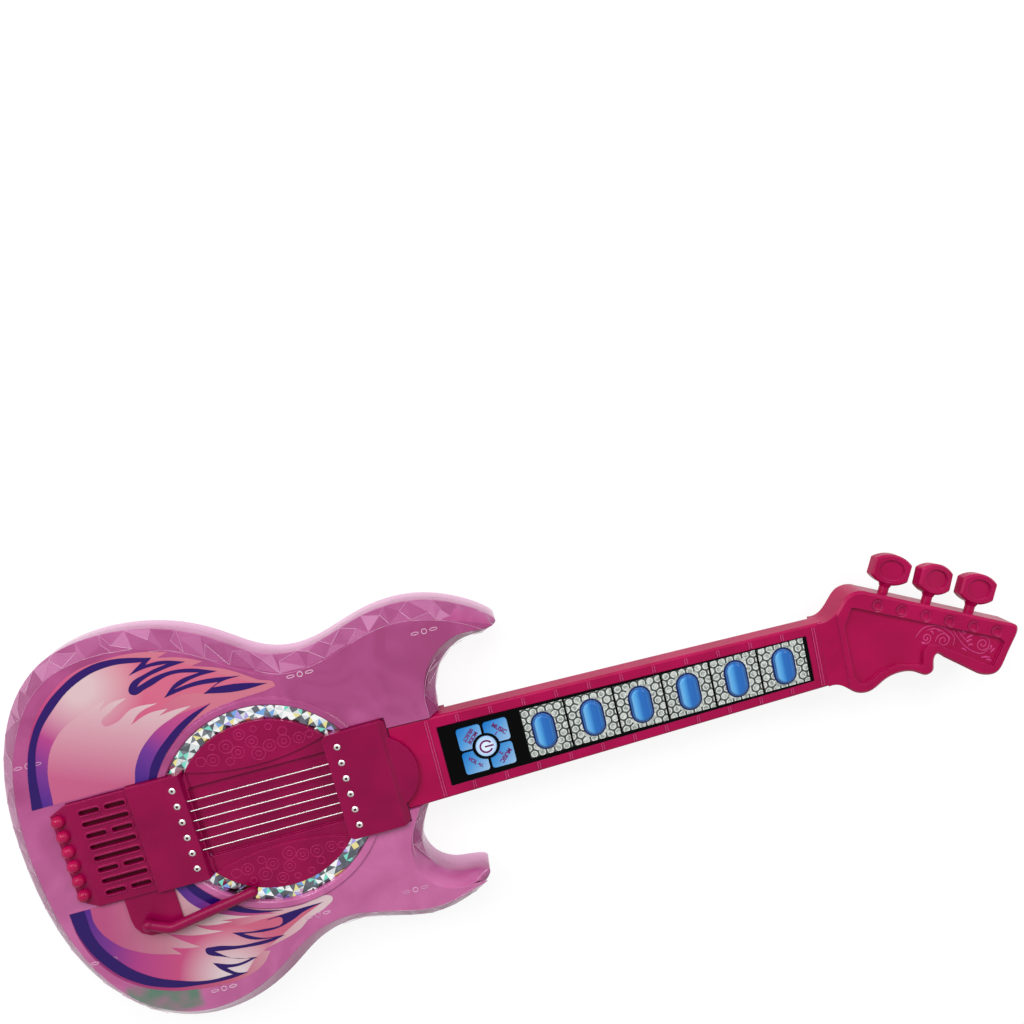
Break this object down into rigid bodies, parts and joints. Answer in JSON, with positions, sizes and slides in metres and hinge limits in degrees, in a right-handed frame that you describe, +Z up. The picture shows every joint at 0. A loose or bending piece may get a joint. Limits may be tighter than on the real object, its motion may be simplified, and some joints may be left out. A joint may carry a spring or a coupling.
{
  "type": "toy electric guitar",
  "caption": "Child's electronic guitar: translucent hollow body with two horns, speaker block, string bed, keyed neck, angled headstock with turning pegs and a swinging bar.",
  "frame": {"origin": "on the flat back of the body, under the centre of the round sound disc", "axes": "+X along the neck towards the headstock, +Y towards the long horn and the tuning pegs, +Z up out of the playing face"},
  "size_m": [0.6124, 0.2473, 0.0405],
  "materials": {
    "clear_pink": "moulded translucent pink polystyrene, facetted inside",
    "magenta": "moulded opaque magenta ABS, satin gloss",
    "prism_foil": "embossed prismatic foil on card",
    "steel": "nickel-plated steel",
    "contact_metal": "tinned sheet steel",
    "overlay_black": "black printed polycarbonate sheet",
    "key_blue": "glossy blue moulded keys",
    "board_green": "solder-masked circuit board",
    "contact_rubber": "carbon contact sheet",
    "board_plastic": "moulded inner plastic",
    "door_pink": "moulded magenta ABS",
    "led_clear": "clear lamp lens",
    "magnet_black": "plated ferrite",
    "cone_paper": "pressed paper",
    "cell_wrap": "plain sleeve"
  },
  "bodies": {
    "guitar": {"front_shell": "clear_pink", "rear_shell": "clear_pink", "soundboard": "magenta", "prism_ring": "prism_foil", "bridge_block": "magenta", "speaker_grille": "magenta", "neck_block": "magenta", "ball_pegs": "magenta", "bridge_pins": "steel", "nut_pins": "steel", "string_1": "steel", "string_2": "steel", "string_3": "steel", "string_4": "steel", "string_5": "steel", "string_6": "steel", "whammy_bracket": "magenta", "neck_front_shell": "magenta", "neck_rear_shell": "magenta", "control_overlay": "overlay_black", "key_board": "board_green", "contact_sheet": "contact_rubber", "board_screws": "steel", "main_board": "board_green", "board_stand": "board_plastic", "leds": "led_clear", "speaker_frame": "contact_metal", "speaker_magnet": "magnet_black", "speaker_cone": "cone_paper", "speaker_screws": "steel", "battery_box": "board_plastic", "batteries": "cell_wrap", "battery_contacts": "contact_metal", "body_screws": "steel", "root_screws": "steel", "neck_screws": "steel"},
    "whammy_bar": {"whammy_bar": "magenta", "whammy_screw": "steel"},
    "battery_door": {"battery_door": "door_pink", "door_screw": "steel"},
    "key_1": {"key_1": "key_blue"},
    "key_2": {"key_2": "key_blue"},
    "key_3": {"key_3": "key_blue"},
    "key_4": {"key_4": "key_blue"},
    "key_5": {"key_5": "key_blue"},
    "key_6": {"key_6": "key_blue"},
    "mode_pad": {"mode_pad": "key_blue"},
    "music_1_pad": {"music_1_pad": "key_blue"},
    "volume_pad": {"volume_pad": "key_blue"},
    "music_2_pad": {"music_2_pad": "key_blue"},
    "power_button": {"power_button": "key_blue"},
    "tuner_1": {"tuner_1": "magenta"},
    "tuner_2": {"tuner_2": "magenta"},
    "tuner_3": {"tuner_3": "magenta"}
  },
  "joints": [
    {"name": "key_1_press", "type": "slide", "parent": "guitar", "child": "key_1", "axis": [0, 0, -1], "range_m": [0, 0.0012], "stiffness_N_per_m": 700, "springref_m": -0.0006},
    {"name": "key_2_press", "type": "slide", "parent": "guitar", "child": "key_2", "axis": [0, 0, -1], "range_m": [0, 0.0012], "stiffness_N_per_m": 700, "springref_m": -0.0006},
    {"name": "key_3_press", "type": "slide", "parent": "guitar", "child": "key_3", "axis": [0, 0, -1], "range_m": [0, 0.0012], "stiffness_N_per_m": 700, "springref_m": -0.0006},
    {"name": "key_4_press", "type": "slide", "parent": "guitar", "child": "key_4", "axis": [0, 0, -1], "range_m": [0, 0.0012], "stiffness_N_per_m": 700, "springref_m": -0.0006},
    {"name": "key_5_press", "type": "slide", "parent": "guitar", "child": "key_5", "axis": [0, 0, -1], "range_m": [0, 0.0012], "stiffness_N_per_m": 700, "springref_m": -0.0006},
    {"name": "key_6_press", "type": "slide", "parent": "guitar", "child": "key_6", "axis": [0, 0, -1], "range_m": [0, 0.0012], "stiffness_N_per_m": 700, "springref_m": -0.0006},
    {"name": "mode_pad_press", "type": "slide", "parent": "guitar", "child": "mode_pad", "axis": [0, 0, -1], "range_m": [0, 0.0007], "stiffness_N_per_m": 900, "springref_m": -0.0004},
    {"name": "music_1_pad_press", "type": "slide", "parent": "guitar", "child": "music_1_pad", "axis": [0, 0, -1], "range_m": [0, 0.0007], "stiffness_N_per_m": 900, "springref_m": -0.0004},
    {"name": "volume_pad_press", "type": "slide", "parent": "guitar", "child": "volume_pad", "axis": [0, 0, -1], "range_m": [0, 0.0007], "stiffness_N_per_m": 900, "springref_m": -0.0004},
    {"name": "music_2_pad_press", "type": "slide", "parent": "guitar", "child": "music_2_pad", "axis": [0, 0, -1], "range_m": [0, 0.0007], "stiffness_N_per_m": 900, "springref_m": -0.0004},
    {"name": "power_button_press", "type": "slide", "parent": "guitar", "child": "power_button", "axis": [0, 0, -1], "range_m": [0, 0.0007], "stiffness_N_per_m": 900, "springref_m": -0.0004},
    {"name": "tuner_1_turn", "type": "hinge", "parent": "guitar", "child": "tuner_1", "pos_m": [0.38838, 0.02572, 0.023], "axis": [0.4517, 0.8921, 0], "continuous": true},
    {"name": "tuner_2_turn", "type": "hinge", "parent": "guitar", "child": "tuner_2", "pos_m": [0.41425, 0.01262, 0.023], "axis": [0.4517, 0.8921, 0], "continuous": true},
    {"name": "tuner_3_turn", "type": "hinge", "parent": "guitar", "child": "tuner_3", "pos_m": [0.44013, -0.00048, 0.023], "axis": [0.4517, 0.8921, 0], "continuous": true},
    {"name": "whammy_swing", "type": "hinge", "parent": "guitar", "child": "whammy_bar", "pos_m": [-0.086, -0.051, 0], "axis": [0, 0, 1], "range_deg": [-45, 10]},
    {"name": "battery_door_open", "type": "hinge", "parent": "guitar", "child": "battery_door", "pos_m": [-0.005, 0.0098, 0], "axis": [-1, 0, 0], "range_deg": [0, 75]}
  ]
}
